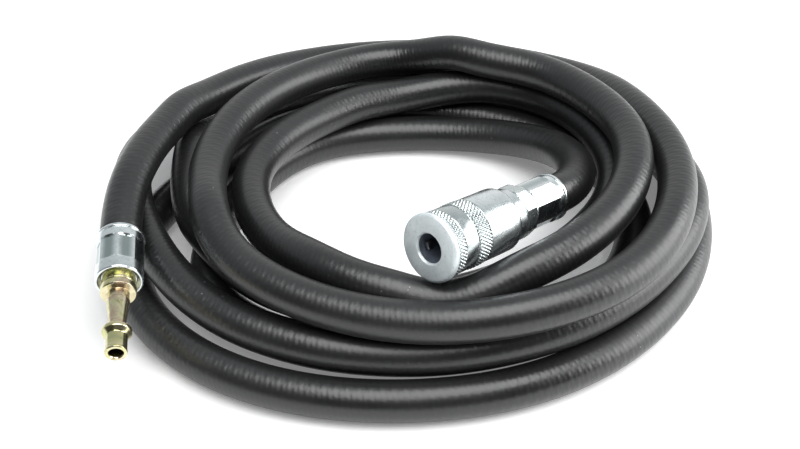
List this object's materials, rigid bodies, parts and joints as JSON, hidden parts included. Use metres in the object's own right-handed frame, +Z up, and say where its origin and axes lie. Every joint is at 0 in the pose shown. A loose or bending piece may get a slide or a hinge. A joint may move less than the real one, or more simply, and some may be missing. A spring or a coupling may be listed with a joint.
{
  "type": "coiled air hose",
  "caption": "Coiled black rubber air hose with crimped ferrules, a knurled quick coupler on one end and a plug-in adaptor on the other.",
  "frame": {"origin": "the floor under the middle of the object's box", "axes": "+Z up; the coupler's open end points along -X and a little up; the plug's tip points towards -X and -Y"},
  "size_m": [0.2798, 0.2477, 0.0662],
  "materials": {
    "hose_rubber": "satin, fine diagonal cloth imprint",
    "bright_zinc": "bright zinc plate",
    "yellow_zinc": "yellow passivated zinc plate",
    "hard_steel": "hardened steel",
    "valve_brass": "turned",
    "seal_nitrile": "matte"
  },
  "bodies": {
    "hose_and_fittings": {"air_hose": "hose_rubber", "coupler_nose_ring": "bright_zinc", "coupler_socket": "bright_zinc", "coupler_body": "bright_zinc", "coupler_tail": "bright_zinc", "coupler_ferrule": "bright_zinc", "plug_ferrule": "bright_zinc", "plug_probe": "yellow_zinc", "plug_tail": "yellow_zinc", "sleeve_spring": "hard_steel", "valve_spring": "hard_steel", "spring_seat": "hard_steel", "front_seal": "seal_nitrile", "body_seal": "seal_nitrile"},
    "sleeve": {"release_sleeve": "bright_zinc"},
    "pawl_1": {"latch_pawl_1": "hard_steel"},
    "pawl_2": {"latch_pawl_2": "hard_steel"},
    "pawl_3": {"latch_pawl_3": "hard_steel"},
    "valve": {"valve_poppet": "valve_brass", "valve_seal": "seal_nitrile"}
  },
  "joints": [
    {"name": "sleeve_slide", "type": "slide", "parent": "hose_and_fittings", "child": "sleeve", "axis": [0.9796, 0, -0.2011], "range_m": [0, 0.0035], "stiffness_N_per_m": 1500, "springref_m": -0.003, "deforming": ["sleeve_spring"]},
    {"name": "valve_slide", "type": "slide", "parent": "hose_and_fittings", "child": "valve", "axis": [0.9796, 0, -0.2011], "range_m": [0, 0.0044], "stiffness_N_per_m": 900, "springref_m": -0.003, "deforming": ["valve_spring"]},
    {"name": "pawl_1_slide", "type": "slide", "parent": "hose_and_fittings", "child": "pawl_1", "axis": [0.2011, 0, 0.9796], "range_m": [0, 0.00126]},
    {"name": "pawl_2_slide", "type": "slide", "parent": "hose_and_fittings", "child": "pawl_2", "axis": [-0.1005, -0.866, -0.4898], "range_m": [0, 0.00126]},
    {"name": "pawl_3_slide", "type": "slide", "parent": "hose_and_fittings", "child": "pawl_3", "axis": [-0.1005, 0.866, -0.4898], "range_m": [0, 0.00126]}
  ],
  "couplings": [
    {"joint": "pawl_1_slide", "follows": "sleeve_slide", "ratio": 0.36},
    {"joint": "pawl_2_slide", "follows": "sleeve_slide", "ratio": 0.36},
    {"joint": "pawl_3_slide", "follows": "sleeve_slide", "ratio": 0.36}
  ]
}
